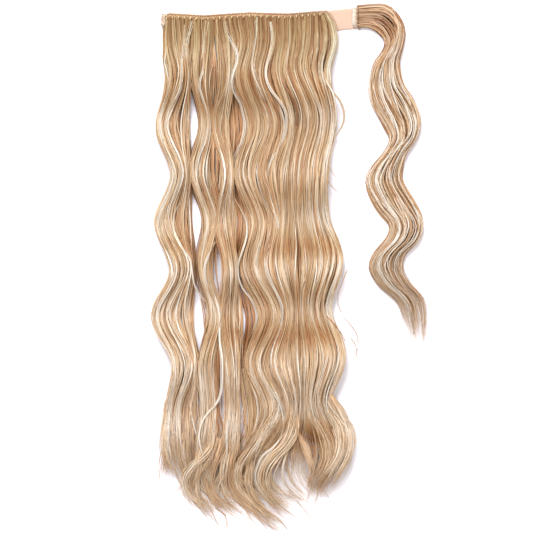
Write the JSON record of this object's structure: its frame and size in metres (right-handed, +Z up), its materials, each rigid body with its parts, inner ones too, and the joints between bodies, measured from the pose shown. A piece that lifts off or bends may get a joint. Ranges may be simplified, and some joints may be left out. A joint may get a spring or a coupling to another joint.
{
  "type": "ponytail hairpiece",
  "caption": "Waved false-hair ponytail laid flat: sewn wefts on a soft fastening band, with a curled strand at the band's free end that wraps round the wearer's ponytail.",
  "frame": {"origin": "middle of the face that the hairpiece lies on, under the middle of its bounding box", "axes": "+Y from the hair's tips to the sewn edge, +X along the sewn edge to the band's free end, +Z up from the surface it lies on"},
  "size_m": [0.273, 0.5256, 0.0157],
  "materials": {
    "band_cloth": "soft flesh-coloured hook-and-loop tape, matt",
    "binding_thread": "pale folded tape bound with white thread",
    "back_hair": "waved golden brown hair fibre, shaded",
    "front_hair": "waved golden hair fibre with pale highlights, soft sheen",
    "wrap_hair": "waved golden hair fibre with pale highlights, soft sheen"
  },
  "bodies": {
    "root": {"fastening_band": "band_cloth", "left_end_binding": "binding_thread", "back_weft": "back_hair", "front_weft": "front_hair", "wrap_weft": "wrap_hair"}
  },
  "joints": []
}
